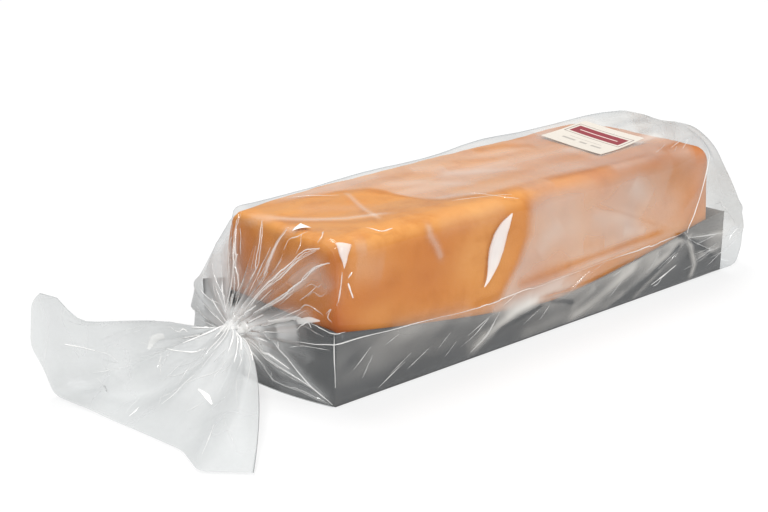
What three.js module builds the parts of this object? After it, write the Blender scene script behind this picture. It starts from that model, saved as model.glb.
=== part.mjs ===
// A loaf cake on its low board tray, shut in a clear bag that is gathered at one end.
// Millimetres, +Z up. The origin is the centre of the tray's base, on the surface it stands on.
// +X runs along the loaf, away from the gathered end, and -Y is the side the loaf is pushed against.
import * as THREE from 'three';

// ---- Driving dimensions ----

// The tray: its long walls dip in an arc from the corners to the middle, and its ends bow out at the foot.
const TRAY = { length: 300, width: 103, cornerHeight: 37, middleHeight: 17, dip: 1.3, flare: 1.3, endBow: 9 };

// The loaf stands against the tray's front wall and leaves a gap behind it.
const LOAF = { length: 288, width: 80, top: 78.5, edge: 9 };

// The film: how far it stands off what it covers, its small radii, how far its top rises to the
// back, and how it sags on top and swells down the back.
const FILM = { gap: 0.8, step: 1.5, hem: 2.5, backRise: 5.4, backEdge: 5, topSag: 0.8, slopeSwell: 2.5 };

// The closed end, where loose film bellies out past the tray. top, belly and foot are places along X.
const END = {
  top: 155,
  belly: 178,
  foot: 172,
  bellyHeight: 22,
  shoulder: 70,
  round: 9,
  edge: 30,
  lift: 6,
  leanLength: 55,
  frontSpread: 0.03,
  middle: [-8, 38],
};

// The gathered neck: the film runs into it from the loaf's end and out of it as a flat tail.
const NECK = { centre: new THREE.Vector3(-175, -0.5, 34), radius: 7, pleats: 16, pleatDepth: 1.7, crimp: 0.12 };
const NECK_AXIS = new THREE.Vector3(-0.95, 0, -0.3).normalize();
const NECK_ACROSS = new THREE.Vector3(0, 1, 0);
const NECK_UP = new THREE.Vector3().crossVectors(NECK_ACROSS, NECK_AXIS).normalize();

// Loose film that swells out behind, between the tray's back corner and the neck.
const EAR = { reach: 17, height: 20, spread: 62 };

// The mouth of the tail, from its raised back tip down to the ground and round to the front corner.
const MOUTH = [
  [-244, 47.5, 53.5],
  [-246, 53, 48],
  [-247, 55.5, 25],
  [-243, 53, 15],
  [-240.5, 48, 0.7],
  [-229.5, -42, 0.7],
  [-236.5, -64.5, 0.7],
  [-220, -81.5, 0.7],
].map(([x, y, z]) => new THREE.Vector3(x, y, z));
const TAIL = {
  thickness: 1.4,
  neckFill: 5,
  backSag: 81,
  frontSwell: 24,
  ripple: 2,
  ripples: 3.5,
  easeMouth: 0.02,
  easeNeck: 0.16,
};

// The label lies on the film's top near the closed end.
const LABEL = { length: 43, width: 42, thickness: 0.6, x: 86.5, y: -3.5, turn: 4, gap: 0.45 };

// How many points each stretch of the cross-section has, and how many loops each stretch of the bag.
const POINTS = { hem: 3, wall: 6, face: 9, edge: 6, top: 15, backEdge: 4, slope: 10, base: 18 };
const LOOPS = { end: 7, body: 34, cone: 11, tail: 16 };
const LABEL_CELLS = 6;

const HALF_LENGTH = TRAY.length / 2;
const HALF_WIDTH = TRAY.width / 2;

// ---- Small helpers ----

const { clamp, degToRad, euclideanModulo, lerp, radToDeg } = THREE.MathUtils;

// 0 at one value and 1 at the other, whichever is the larger, with no corner at either.
function ease(from, to, value) {
  const t = clamp((value - from) / (to - from), 0, 1);
  return t * t * (3 - 2 * t);
}

// Points [y, z] after the first, up to and with the last, on a straight line.
function line(from, to, count) {
  return Array.from({ length: count }, (_, i) => {
    const t = (i + 1) / count;
    return [lerp(from[0], to[0], t), lerp(from[1], to[1], t)];
  });
}

// Points [y, z] on an arc between two angles in degrees, both ends included.
function arc(centre, radius, from, to, count) {
  return Array.from({ length: count }, (_, i) => {
    const angle = degToRad(lerp(from, to, i / (count - 1)));
    return [centre[0] + radius * Math.cos(angle), centre[1] + radius * Math.sin(angle)];
  });
}

// ---- The body's cross-section ----

// The height of the tray's long walls at x.
function wallHeight(x) {
  const fromMiddle = Math.min(Math.abs(x) / HALF_LENGTH, 1);
  return lerp(TRAY.middleHeight, TRAY.cornerHeight, fromMiddle ** TRAY.dip);
}

// How far the loaf's rounded edge draws the film in near the gathered end.
function endInset(x) {
  const past = clamp((LOAF.edge - HALF_LENGTH - x) / LOAF.edge, 0, 0.8);
  return LOAF.edge * (1 - Math.sqrt(1 - past * past));
}

// The film's height over the loaf's front top edge: it lifts off the loaf towards the closed end.
function frontTop(x) {
  const lift = END.lift * ease(HALF_LENGTH / 2, HALF_LENGTH, x);
  return LOAF.top + FILM.gap + lift + 0.5 * Math.sin(x / 21) - endInset(x);
}

// The film's height over the loaf's back top edge, where it stands higher off the loaf.
function backTop(x) {
  const rise = FILM.backRise * ease(-HALF_LENGTH, HALF_LENGTH / 2, x) + 1.4 * ease(-150, -110, x);
  return LOAF.top + FILM.gap + rise + 0.6 * Math.sin(x / 14) - endInset(x);
}

// The film's height over the loaf's top, between the rounded front and back edges.
function topHeight(x, y) {
  const front = -HALF_WIDTH + LOAF.edge;
  const back = -HALF_WIDTH + LOAF.width - FILM.backEdge;
  const across = (y - front) / (back - front);
  return lerp(frontTop(x), backTop(x), across) - FILM.topSag * Math.sin(Math.PI * across);
}

// The radius of the film's front top edge: it follows the loaf's, and is cut off past the loaf's end.
function frontEdge(x) {
  return lerp(LOAF.edge, END.edge, ease(LOAF.length - HALF_LENGTH - LOAF.edge, HALF_LENGTH, x));
}

// One closed loop of [y, z] points: up the front, over the top, down the back and home underneath.
function section(x) {
  const inset = endInset(x);
  const rim = wallHeight(x);
  const edge = frontEdge(x);
  const foot = HALF_WIDTH + FILM.gap;
  const wall = foot + TRAY.flare;
  const aboveRim = [-foot, rim + FILM.step];
  const front = -foot + inset;
  const back = -HALF_WIDTH + LOAF.width + FILM.gap - inset;
  const topFront = [front + edge, topHeight(x, front + edge)];
  const topBack = [back - FILM.backEdge, topHeight(x, back - FILM.backEdge)];
  const slope = line([back, topBack[1] - FILM.backEdge], [wall, rim], POINTS.slope).map(([y, z], i) => {
    const swell = FILM.slopeSwell * Math.sin((Math.PI * (i + 1)) / POINTS.slope);
    return [y + 0.85 * swell, z + 0.5 * swell];
  });
  return [
    ...arc([-foot + FILM.hem, FILM.hem], FILM.hem, 270, 180, POINTS.hem),
    ...line([-foot, FILM.hem], [-wall, rim], POINTS.wall),
    aboveRim,
    ...line(aboveRim, [front, topFront[1] - edge], POINTS.face),
    ...arc([topFront[0], topFront[1] - edge], edge, 165, 90, POINTS.edge),
    ...line(topFront, topBack, POINTS.top).map(([y]) => [y, topHeight(x, y)]),
    ...arc([topBack[0], topBack[1] - FILM.backEdge], FILM.backEdge, 65, 0, POINTS.backEdge),
    ...slope,
    ...line([wall, rim], [foot, FILM.hem], POINTS.wall),
    ...arc([foot - FILM.hem, FILM.hem], FILM.hem, -30, -90, POINTS.hem),
    ...line([foot - FILM.hem, 0], [-foot + FILM.hem, 0], POINTS.base).slice(0, -1),
  ];
}

const LOOP_SIZE = section(0).length;

// ---- The closed end ----

// How far along X the film reaches at each height: least at the loaf's top, most at the belly.
function endReach(z) {
  const low = lerp(END.foot, END.belly, Math.sin((Math.PI / 2) * Math.min(z / END.bellyHeight, 1)));
  return lerp(low, END.top, ease(END.bellyHeight, END.shoulder, z));
}

// A little loose film also stands out in front of the tray's corner.
function spreadFront(y, z, lean) {
  return y < 0 ? y * (1 + END.frontSpread * lean * ease(END.shoulder, END.bellyHeight, z)) : y;
}

// A body loop, leaning outwards near the closed end so that it ends just short of the reach.
function bodyLoop(x) {
  const lean = ease(HALF_LENGTH - END.leanLength, HALF_LENGTH, x);
  return section(x).map(([y, z]) => {
    const shift = (endReach(z) - END.round - HALF_LENGTH) * lean;
    return new THREE.Vector3(x + shift, spreadFront(y, z, lean), z);
  });
}

// The last body loop drawn in towards the middle of the end, over a rounded edge.
function endLoop(size) {
  const out = (1 - size ** 4) ** 0.25;
  return section(HALF_LENGTH).map(([y, z]) => {
    const inY = lerp(END.middle[0], spreadFront(y, z, 1), size);
    const inZ = lerp(END.middle[1], z, size);
    return new THREE.Vector3(endReach(inZ) - END.round * (1 - out), inY, inZ);
  });
}

// ---- The gathered end ----

// The angle round the neck of a loop's first point, in degrees, so that one point falls on each fold.
const FIRST_ANGLE = 180 + 7 * (360 / LOOP_SIZE);

function neckAngle(index) {
  return FIRST_ANGLE - (360 / LOOP_SIZE) * index;
}

function pleat(index) {
  return Math.cos((2 * Math.PI * NECK.pleats * index) / LOOP_SIZE);
}

function neckPoint(index, along, radius) {
  const angle = degToRad(neckAngle(index));
  const reach = radius * (1 + NECK.crimp * pleat(index));
  return NECK.centre
    .clone()
    .addScaledVector(NECK_AXIS, along)
    .addScaledVector(NECK_ACROSS, reach * Math.cos(angle))
    .addScaledVector(NECK_UP, reach * Math.sin(angle));
}

// The loop where the film leaves the loaf and the tray, whose end wall bows out at its foot.
function rimLoop() {
  const outset = 1.5;
  const x = -HALF_LENGTH + outset;
  return section(x).map(([y, z]) => {
    const low = 1 - Math.min(z / TRAY.cornerHeight, 1);
    const bow = TRAY.endBow * (1 - (y / (HALF_WIDTH + FILM.gap)) ** 2) * low;
    const wall = (FILM.gap + outset) * ease(TRAY.cornerHeight + 4, TRAY.cornerHeight, z);
    return new THREE.Vector3(x - wall - bow, y, z);
  });
}

// Film from the rim to the neck in straight runs, pleated, with loose film behind as an ear.
function coneLoop(t, rim) {
  const depth = NECK.pleatDepth * Math.sin(Math.PI * Math.min(t * 1.15, 1)) * ease(0, 0.3, t);
  return rim.map((start, index) => {
    const point = start.clone().lerp(neckPoint(index, -4, NECK.radius + 0.8), t);
    const away = point.clone().sub(NECK.centre).setX(0).normalize();
    const aim = radToDeg(Math.atan2(start.z - EAR.height, start.y));
    const behind = start.y > 0 ? Math.max(0, 1 - (aim / EAR.spread) ** 2) : 0;
    point.addScaledVector(away, pleat(index) * depth);
    point.y += EAR.reach * behind ** 1.5 * Math.sin(Math.PI * t ** 0.8);
    point.z = Math.max(point.z, 0.3 * t);
    return point;
  });
}

// ---- The tail ----

const MOUTH_RUNS = MOUTH.map((point, i) => (i ? point.distanceTo(MOUTH[i - 1]) : 0));
const MOUTH_LENGTH = MOUTH_RUNS.reduce((sum, run) => sum + run, 0);

// The point of the mouth at a share of its length from the raised tip.
function mouthPoint(share) {
  let rest = share * MOUTH_LENGTH;
  let i = 1;
  while (i < MOUTH.length - 1 && rest > MOUTH_RUNS[i]) {
    rest -= MOUTH_RUNS[i];
    i += 1;
  }
  return MOUTH[i - 1].clone().lerp(MOUTH[i], Math.min(rest / MOUTH_RUNS[i], 1));
}

// The mouth's corners ease out towards the neck, so that the film there has no sharp bends.
function easedMouth(share, t) {
  const reach = Math.min(TAIL.easeMouth + TAIL.easeNeck * (1 - t), share, 1 - share);
  const sum = new THREE.Vector3();
  for (let k = -2; k <= 2; k += 1) {
    sum.addScaledVector(mouthPoint(share + (k / 2) * reach), 1 / 5);
  }
  return sum;
}

// The middle of the tail's two layers: across from the back fold to the front one, t from neck to mouth.
function tailMiddle(across, t) {
  const start = NECK.centre.clone().addScaledVector(NECK_ACROSS, NECK.radius * Math.cos(Math.PI * across));
  const point = start.lerp(easedMouth(across, t), t);
  const sag = TAIL.backSag * t ** 2.5 * (1 - t) * (1 - across) ** 3;
  const swell = TAIL.frontSwell * Math.sqrt(t) * (1 - t) * across ** 2;
  const ripple = TAIL.ripple * Math.sin(Math.PI * t) * Math.sin(2 * Math.PI * TAIL.ripples * across);
  point.x += 0.74 * swell;
  point.y -= 0.67 * swell;
  point.z += ripple - sag;
  return point;
}

function tailNormal(across, t) {
  const step = 0.02;
  const alongT = tailMiddle(across, Math.min(t + step, 1)).sub(tailMiddle(across, t - step));
  const alongS = tailMiddle(Math.min(across + step, 1), t).sub(tailMiddle(Math.max(across - step, 0), t));
  return alongT.cross(alongS).normalize();
}

// The upper layer from the front fold to the back one, and the lower layer home again.
function tailLoop(t) {
  const fill = lerp(TAIL.thickness / 2, NECK.radius, Math.exp(-TAIL.neckFill * t));
  return Array.from({ length: LOOP_SIZE }, (_, index) => {
    const angle = euclideanModulo(neckAngle(index), 360);
    const above = angle <= 180;
    const across = (above ? angle : 360 - angle) / 180;
    const half = fill * Math.sin(Math.PI * across) ** lerp(1, 0.4, t);
    const normal = NECK_UP.clone().lerp(tailNormal(across, t), ease(0, 0.25, t)).normalize();
    const point = tailMiddle(across, t).addScaledVector(normal, above ? half : -half);
    point.z = Math.max(point.z, above ? 0.6 * TAIL.thickness : 0);
    return point;
  });
}

// ---- Skins and meshes ----

function geometryOf(points, faces) {
  const geometry = new THREE.BufferGeometry();
  geometry.setAttribute('position', new THREE.Float32BufferAttribute(points.flatMap((p) => p.toArray()), 3));
  geometry.setIndex(faces);
  geometry.computeVertexNormals();
  return geometry;
}

// A closed skin over loops that all have the same number of points. A fan closes the first loop.
// The last is flat, and is closed from one side to the other, starting at its point number hinge.
function skin(loops, hinge) {
  const size = loops[0].length;
  const points = loops.flat();
  const faces = [];
  for (let row = 0; row + 1 < loops.length; row += 1) {
    for (let i = 0; i < size; i += 1) {
      const a = row * size + i;
      const b = row * size + ((i + 1) % size);
      faces.push(a, b, a + size, b, b + size, a + size);
    }
  }
  const middle = new THREE.Vector3();
  loops[0].forEach((point) => middle.addScaledVector(point, 1 / size));
  for (let i = 0; i < size; i += 1) {
    faces.push(points.length, (i + 1) % size, i);
  }
  points.push(middle);
  const last = (loops.length - 1) * size;
  const at = (offset) => last + euclideanModulo(hinge + offset, size);
  for (let k = 0; k < size / 2; k += 1) {
    if (k > 0) faces.push(at(k), at(k + 1), at(-k));
    if (k + 1 < size / 2) faces.push(at(-k), at(k + 1), at(-k - 1));
  }
  return geometryOf(points, faces);
}

function bagGeometry() {
  const loops = [];
  for (let i = 0; i < LOOPS.end; i += 1) {
    loops.push(endLoop(lerp(0.25, 1, Math.sqrt(i / LOOPS.end))));
  }
  for (let i = 0; i <= LOOPS.body; i += 1) {
    loops.push(bodyLoop(HALF_LENGTH - ((TRAY.length - 6) * i) / LOOPS.body));
  }
  const rim = rimLoop();
  for (let i = 0; i <= LOOPS.cone; i += 1) {
    loops.push(coneLoop(i / LOOPS.cone, rim));
  }
  loops.push(rim.map((_, index) => neckPoint(index, -1.5, NECK.radius)));
  for (let i = 1; i <= LOOPS.tail; i += 1) {
    loops.push(tailLoop((i / LOOPS.tail) ** 1.2));
  }
  return skin(loops, (FIRST_ANGLE - 180) / (360 / LOOP_SIZE));
}

// A thin plate that follows the film's top: a grid of points below, the same above, and a wall round them.
function labelGeometry() {
  const turn = degToRad(LABEL.turn);
  const side = LABEL_CELLS + 1;
  const upper = side * side;
  const points = [];
  for (const lift of [LABEL.gap, LABEL.gap + LABEL.thickness]) {
    for (let cell = 0; cell < upper; cell += 1) {
      const u = ((cell % side) / LABEL_CELLS - 0.5) * LABEL.length;
      const v = (Math.floor(cell / side) / LABEL_CELLS - 0.5) * LABEL.width;
      const x = LABEL.x + u * Math.cos(turn) - v * Math.sin(turn);
      const y = LABEL.y + u * Math.sin(turn) + v * Math.cos(turn);
      points.push(new THREE.Vector3(x, y, topHeight(x, y) + lift));
    }
  }
  const faces = [];
  const quad = (a, b, c, d) => faces.push(a, b, c, b, d, c);
  for (let row = 0; row < LABEL_CELLS; row += 1) {
    for (let column = 0; column < LABEL_CELLS; column += 1) {
      const a = row * side + column;
      quad(a, a + side, a + 1, a + 1 + side);
      quad(upper + a, upper + a + 1, upper + a + side, upper + a + side + 1);
    }
  }
  for (let i = 0; i < LABEL_CELLS; i += 1) {
    const back = LABEL_CELLS * side + i;
    const left = i * side;
    const right = left + LABEL_CELLS;
    quad(i, i + 1, upper + i, upper + i + 1);
    quad(back + 1, back, upper + back + 1, upper + back);
    quad(left + side, left, upper + left + side, upper + left);
    quad(right, right + side, upper + right, upper + right + side);
  }
  return geometryOf(points, faces);
}

// ---- The pack ----

function part(name, geometry, finish) {
  const mesh = new THREE.Mesh(geometry, new THREE.MeshStandardMaterial({ metalness: 0, ...finish }));
  mesh.name = name;
  return mesh;
}

const pack = new THREE.Group();
pack.add(part('bag', bagGeometry(), { color: 0xd8a070, roughness: 0.3 }));
pack.add(part('label', labelGeometry(), { color: 0xf2ead8, roughness: 0.6 }));

export default pack;
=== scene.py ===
import math

import bpy
import numpy as np
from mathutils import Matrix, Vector
from mathutils.bvhtree import BVHTree


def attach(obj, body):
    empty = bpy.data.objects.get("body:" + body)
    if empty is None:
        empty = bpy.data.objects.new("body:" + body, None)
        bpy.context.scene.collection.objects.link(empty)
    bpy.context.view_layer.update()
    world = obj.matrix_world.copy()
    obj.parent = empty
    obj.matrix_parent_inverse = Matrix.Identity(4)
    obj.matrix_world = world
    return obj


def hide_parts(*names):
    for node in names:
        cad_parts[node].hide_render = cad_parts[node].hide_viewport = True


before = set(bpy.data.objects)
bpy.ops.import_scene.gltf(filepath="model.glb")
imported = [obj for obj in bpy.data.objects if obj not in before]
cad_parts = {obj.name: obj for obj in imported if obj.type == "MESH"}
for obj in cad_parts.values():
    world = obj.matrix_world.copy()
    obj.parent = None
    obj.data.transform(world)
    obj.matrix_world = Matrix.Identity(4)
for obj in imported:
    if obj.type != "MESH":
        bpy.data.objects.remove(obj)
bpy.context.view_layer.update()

MM = 0.001

# ---- The sizes that the solids share ----
TRAY_LENGTH, TRAY_WIDTH, CORNER_HEIGHT, MIDDLE_HEIGHT = 300, 103, 37, 17
TRAY_DIP, TRAY_FLARE, END_BOW, BOARD = 1.3, 1.3, 9, 0.9
LOAF_LENGTH, LOAF_WIDTH, LOAF_TOP, LOAF_EDGE, NEAR_EDGE = 288, 80, 78.5, 9, 5
FILM_GAP, FILM_HEM, BACK_RISE, BACK_EDGE, TOP_SAG, SLOPE_SWELL = 0.8, 2.5, 5.4, 5, 0.8, 2.5
END_TOP, END_BELLY, END_FOOT, BELLY_HEIGHT, SHOULDER = 155, 178, 172, 22, 70
END_ROUND, END_EDGE, END_LIFT, LEAN_LENGTH, FRONT_SPREAD = 9, 30, 6, 55, 0.03
END_MIDDLE = (-8, 38)
NECK_CENTRE = np.array((-172.8, -2.5, 28))
NECK_RADIUS, NECK_CRIMP = 5.6, 0.25
NECK_AXIS = np.array((-0.95, 0, -0.3)) / math.hypot(0.95, 0.3)
NECK_ACROSS = np.array((0, 1.0, 0))
NECK_UP = np.cross(NECK_ACROSS, NECK_AXIS)
EAR_REACH, EAR_HEIGHT, EAR_SPREAD = 17, 20, 62
# The tail's cut mouth, from its far side to its near side.
MOUTH = ((-244, 47.5, 53.5), (-246, 53, 48), (-247, 55.5, 25), (-243, 53, 15))
MOUTH += ((-240.5, 48, 0.7), (-229.5, -42, 0.7), (-236.5, -64.5, 0.7), (-220, -81.5, 0.7))
MOUTH = np.array(MOUTH)
TAIL_THICKNESS, NECK_FILL, FRONT_SWELL = 1.4, 5, 17
TAIL_SAG_AT = (0, 0.2, 0.3, 0.4, 0.5, 0.6, 0.7, 0.76, 0.81, 0.86, 0.91, 1)
TAIL_SAG = (0, 0.4, 0.8, 2.3, 4.4, 6.5, 8.6, 9.6, 8.8, 5.4, 0.8, 0.4)
TAIL_RIPPLE, TAIL_RIPPLES, EASE_MOUTH, EASE_NECK = 2, 3.5, 0.02, 0.16
LABEL_LENGTH, LABEL_WIDTH, LABEL_X, LABEL_Y, LABEL_TURN, LABEL_GAP, PAPER = 43, 42, 86.5, -3.5, 4, 0.3, 0.2

HALF_LENGTH = TRAY_LENGTH / 2
HALF_WIDTH = TRAY_WIDTH / 2
FOOT = HALF_WIDTH + FILM_GAP
LOAF_BACK = -HALF_WIDTH + LOAF_WIDTH

# The taut fold along the front: places along X, its height, and how far it stands proud.
FOLD_X = (-152, -144, -118, -90, -55, -26, 5, 38, 72, 107, 125, 150)
FOLD_Z = (31.5, 32.0, 30.9, 29.6, 27.9, 29.0, 30.1, 31.3, 31.3, 32.5, 28.0, 24.0)
FOLD_OUT = (0.9, 1.4, 1.8, 2.0, 2.2, 2.4, 2.6, 2.8, 2.8, 3.0, 1.8, 0.4)

# The edge of the haze on the top: places along X, and the Y behind which the film is hazy.
HAZE_EDGE_X = (-150, -130, -110, -95, -80, -74, -70, -62, -50, -40, 150)
HAZE_EDGE_Y = (24, 20, 17, 13, 0, -13, -24, -31, -34, -40, -44)
# The edge of the haze on the front: heights, and the X past which the film is hazy.
FRONT_EDGE_Z = (28, 36, 44, 58, 80)
FRONT_EDGE_X = (-44, -36, -29, -22, -21)

# A place round the cross-section runs from 0 to 80: up the front, over the top, down the back, home below.
# Each stretch has its first and last place and the number of columns in it.
ROUND = 80
STRETCHES = ((0, 2, 4), (2, 9, 34), (9, 18, 46), (18, 24, 16), (24, 39, 54))
STRETCHES += ((39, 43, 8), (43, 53, 26), (53, 59, 12), (59, 62, 4), (62, ROUND, 14))
AROUND = np.concatenate([np.linspace(a, b, n, endpoint=False) for a, b, n in STRETCHES])

# How many loops the film and the loaf have, and columns where they aren't the section's own.
END_ROWS, BODY_ROWS, CONE_ROWS, TAIL_ROWS, GATHER_COLUMNS, PLEATS = 26, 310, 46, 92, 330, 46
LOAF_ROWS, LOAF_END_ROWS, EDGE_STEPS, SIDE_STEPS = 150, 18, 9, 38
TRAY_COLUMNS, TRAY_LEVELS, LABEL_CELLS = 61, 9, 24

# The sown creases' height, the gathers sown round the neck, and the seeds of the random draws.
LOW_CREASE, NECK_RAYS, CRINKLE_SEED, STRIP_SEED, PLEAT_SEED = 0.3, 44, 404, 77, 5
# A strip's steps along the film, those of its sideways kinks, and how far it stands off.
STRIP_STEP, KINK_STEP, STRIP_LIFT = 0.9, 5, 0.08

# The loaf's edge radii, round the section from its back top edge: back top, front top, front foot, back foot.
LOAF_RADII = np.array((5.5, 9, 4.5, 5))
LOAF_DOME, DOME_PLACE, DOME_LENGTH = 1.2, -95, 60
# Where the crust is paler, and the two thin strips at Z 74 along the front's upper edge a painted highlight: how much,
# the place and how far it reaches along each axis.
PALE_AND_HIGHLIGHT_PLACES = (
    (0.3, (-125, -51, 40), (16, 30, 6)),
    (0.25, (-132, -51, 66), (14, 20, 9)),
    (0.35, (-45, -51, 40), (22, 20, 30)),
    (0.4, (0, -51, 60), (30, 20, 14)),
    (0.2, (-60, -51, 74), (60, 12, 4)),
    (0.45, (50, -51, 45), (40, 20, 16)),
    (0.2, (-110, -51, 74), (30, 12, 4)),
    (0.35, (-66, -51, 54), (14, 12, 12)),
    (0.3, (-51, -51, 65), (12, 12, 12)),
    (-0.35, (-100, -5, 80), (24, 14, 12)),
    (0.3, (-104, -51, 30), (24, 12, 8)),
)
# Where it is browner: how much, the X and Z, the reach along each, and whether on the front only.
BROWN_PLACES = (
    (0.4, (-90, 50), (20, 14), True),
    (0.32, (-125, 49), (15, 10), True),
    (0.35, (138, 74), (10, 9), False),
    (0.32, (60, 77), (55, 5), False),
)

# ---- Creases ----
# Each row is half the crease's width, its height and how white it is, and then its points. The white is partly the
# whitening of creased film and partly painted highlight.
CREASES = (
    # The taut fold along the front and round onto the gathered end.
    (0.4, 0.35, 0.75, -161.1, -31, 29.5, -151.4, -51.8, 31.6, -143.8, -53.4, 32, -118.3, -54, 30.9, -90.2, -54, 29.6),
    (0.35, 0.3, 0.6, -90.2, -54, 29.6, -55.4, -54, 27.9, -26, -54, 29, 5.1, -54.5, 30.1, 37.8, -55, 31.3),
    (0.45, 0.35, 0.6, 37.8, -55, 31.3, 72.5, -55, 31.3, 92, -55, 32, 107, -55, 32.5),
    # The upright corner under the loaf, and those beside the loaf's near end.
    (0.4, 0.35, 0.8, -151.3, -52.5, 36.6, -151.2, -52.5, 24, -150.8, -52.5, 10.3),
    (0.5, 0.3, 0.5, -145.9, -52.2, 65.7, -146.5, -52.1, 60.5, -147.6, -51.9, 54, -148.5, -51.5, 49.8),
    (0.7, 0.3, 0.6, -140, -52.3, 64.4, -142.5, -52.3, 62.1),
    (0.8, 0.35, 0.75, -142.5, -52.3, 59.7, -141.3, -52.3, 56, -139.7, -52.5, 51.8),
    # Short ones by the loaf's top near edge.
    (0.35, 0.3, 0.55, -145.6, -27.8, 79.1, -148.6, -24.8, 77, -150, -19.1, 74.1, -152.3, -18.1, 69.4),
    (0.6, 0.3, 0.4, -142.3, -34.7, 79.9, -147, -39, 78.4, -148.8, -38.8, 76.9),
    (0.35, 0.3, 0.4, -147.5, -25.8, 78, -150.7, -28.1, 73.4, -152.8, -27.7, 69.9),
    # The upright gathers by the end's far edge.
    (0.45, 0.3, 0.9, -155.4, 27.7, 51.6, -158.7, 23.1, 44.7, -162.4, 17.6, 39.2),
    (0.4, 0.3, 0.6, -155, 23.6, 61.2, -158.7, 18.1, 54.6, -161.7, 14.8, 46.9),
    (0.35, 0.3, 0.5, -149.3, 28.9, 70.1, -154.1, 24.3, 62.4, -160.4, 14.9, 54.8, -164.1, 8.8, 45.5),
    (0.35, 0.3, 0.55, -155.6, 17.3, 65.3, -160.7, 8.7, 57.4, -161.9, 5.1, 51, -164, 3.2, 45.9),
    (0.4, 0.3, 0.6, -163.1, 14.5, 38.6, -158.8, 28.5, 44.4, -154.4, 37.7, 50.5),
    (0.4, 0.3, 0.7, -164.4, 17.1, 35.7, -160, 35.1, 34, -155.8, 48.7, 35.9),
    # Crinkles in the hazy film by the tray's near corner.
    (0.35, 0.3, 0.3, -155.5, -37.1, 56.4, -153.9, -40.3, 58.7, -152.4, -42.8, 57.6, -151.5, -44.7, 59.8),
    (0.35, 0.3, 0.3, -154.6, -37.4, 51.8, -153.1, -40.7, 54.8, -152.1, -43.8, 53.4, -150.6, -47, 55.4),
    (0.4, 0.3, 0.45, -156.9, -35, 45.9, -155.5, -37, 48.1, -154.3, -40.5, 47.7, -152.8, -43.1, 46.1, -151.5, -45.1,
     44.4),
    (0.4, 0.3, 0.5, -150.9, -46.5, 45.1, -149.9, -48.9, 47.9, -150.6, -47.5, 43.4, -149.8, -49.4, 41.7),
    (0.5, 0.4, 0.75, -157.9, -33.7, 35.4, -157, -36.4, 38.5, -155.5, -39, 40.3, -154.7, -40.1, 37.4),
    # A painted highlight along the tray's rim where it shows at the near corner.
    (0.3, 0.2, 0.85, -154.8, -40.3, 39.5, -152.6, -45.5, 37.9, -151.2, -52.4, 37.1, -145.7, -53.7, 37),
    # The film over the tray's front.
    (0.35, 0.4, 0.6, -107.8, -52.7, 11.5, -115.4, -52.5, 7.9, -124.2, -52.3, 2.5),
    (0.6, 0.5, 0.25, -128.7, -53.1, 20.9, -132.2, -52.8, 15.2, -134.6, -52.6, 10.7),
    (0.8, 0.6, 0.4, -43.1, -53.4, 22, -50.5, -52.9, 12, -62.1, -52.4, 4.3),
    (0.55, 0.5, 0.85, 84, -53, 6.5, 90.2, -53.1, 8.3, 96.6, -53.3, 10.5, 105.3, -53.8, 13.7),
    (0.35, 0.4, 0.6, 86, -53, 5, 90, -53.1, 5.8, 93.6, -53.3, 9.5),
    (0.6, 0.5, 0.35, 121.6, -53.2, 11.9, 134.3, -53.7, 15.5, 149.7, -54.1, 16),
    (0.6, 0.5, 0.5, 111.2, -56.4, 29.4, 130.6, -54.9, 26.8, 149, -54.1, 24.6),
    (0.4, 0.5, 0.4, 107.6, -53.5, 32.5, 117.4, -53.8, 26.4, 129.7, -53.8, 20.2, 142.1, -53.9, 14.5),
    # The upright crease by the loaf's far end, and short ones over the top and beyond that end.
    (0.6, 0.5, 0.9, 110.9, -55.9, 32.5, 119.2, -53.2, 39.2, 124.2, -52.7, 47.8, 128.2, -52.5, 57.2, 131.2, -52.3, 66.8,
     133, -49.5, 75),
    (0.45, 0.3, 0.35, -44.4, -33.1, 79.1, -35.6, -45.5, 78.5, -25.8, -48.8, 76.8),
    (0.4, 0.3, 0.35, -62, -38, 79.5, -45, -42, 79, -28, -46, 78.4),
    (0.5, 0.3, 0.4, -119.9, 20.2, 80.1, -109.6, 14.7, 80.1, -98.2, 5.8, 80.1),
    (0.5, 0.3, 0.6, -124.3, -44.2, 79.4, -119, -48.1, 78.2, -111.6, -48.2, 78.2),
    (0.5, 0.5, 0.5, 145.6, -53, 45, 147.8, -53.2, 41.6, 152.1, -53.4, 37.7),
    (0.6, 0.5, 0.6, 157.2, -54.4, 18.3, 162.5, -54.6, 22.2, 166.3, -54.7, 24),
    # Creases in the tail.
    (0.5, 0.4, 0.9, -234.6, 45.4, 25.6, -229, 41.1, 23.9, -223.5, 37.2, 21.8),
    (0.3, 0.3, 0.5, -223.5, 37.2, 21.8, -219.3, 34.3, 20.3, -215.4, 30.4, 16.3),
    (0.5, 0.4, 0.85, -198.3, 17, 21.6, -195.2, 7.9, 22.6, -190.8, 2.8, 22.4, -185.8, 0.1, 24),
    (0.4, 0.3, 0.6, -218.5, -10.5, 8.3, -212.7, -12.1, 11.8, -205.2, -10.4, 15.1, -199.2, -10.6, 17.8),
    (0.8, 0.3, 0.7, -230.4, -1.7, 3.2, -227.6, -1.5, 4.3, -224.2, -0.3, 5.1),
    (0.5, 0.3, 0.35, -223.5, 36, 7.9, -223.9, 30.2, 6, -227.1, 20.8, 5.5),
    (0.6, 0.4, 0.8, -192.6, 15.3, 30.4, -191.2, 14, 29.4, -189.5, 13.1, 30.8, -188.1, 11.6, 29.3),
    (0.4, 0.3, 0.5, -178.7, -15.6, 25.7, -182.8, -23.3, 23.1, -187.5, -25.7, 20.2),
    (0.4, 0.3, 0.45, -175.5, -15.3, 27.2, -179.7, -26.1, 24.1, -189, -36.7, 20.2),
)

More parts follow.
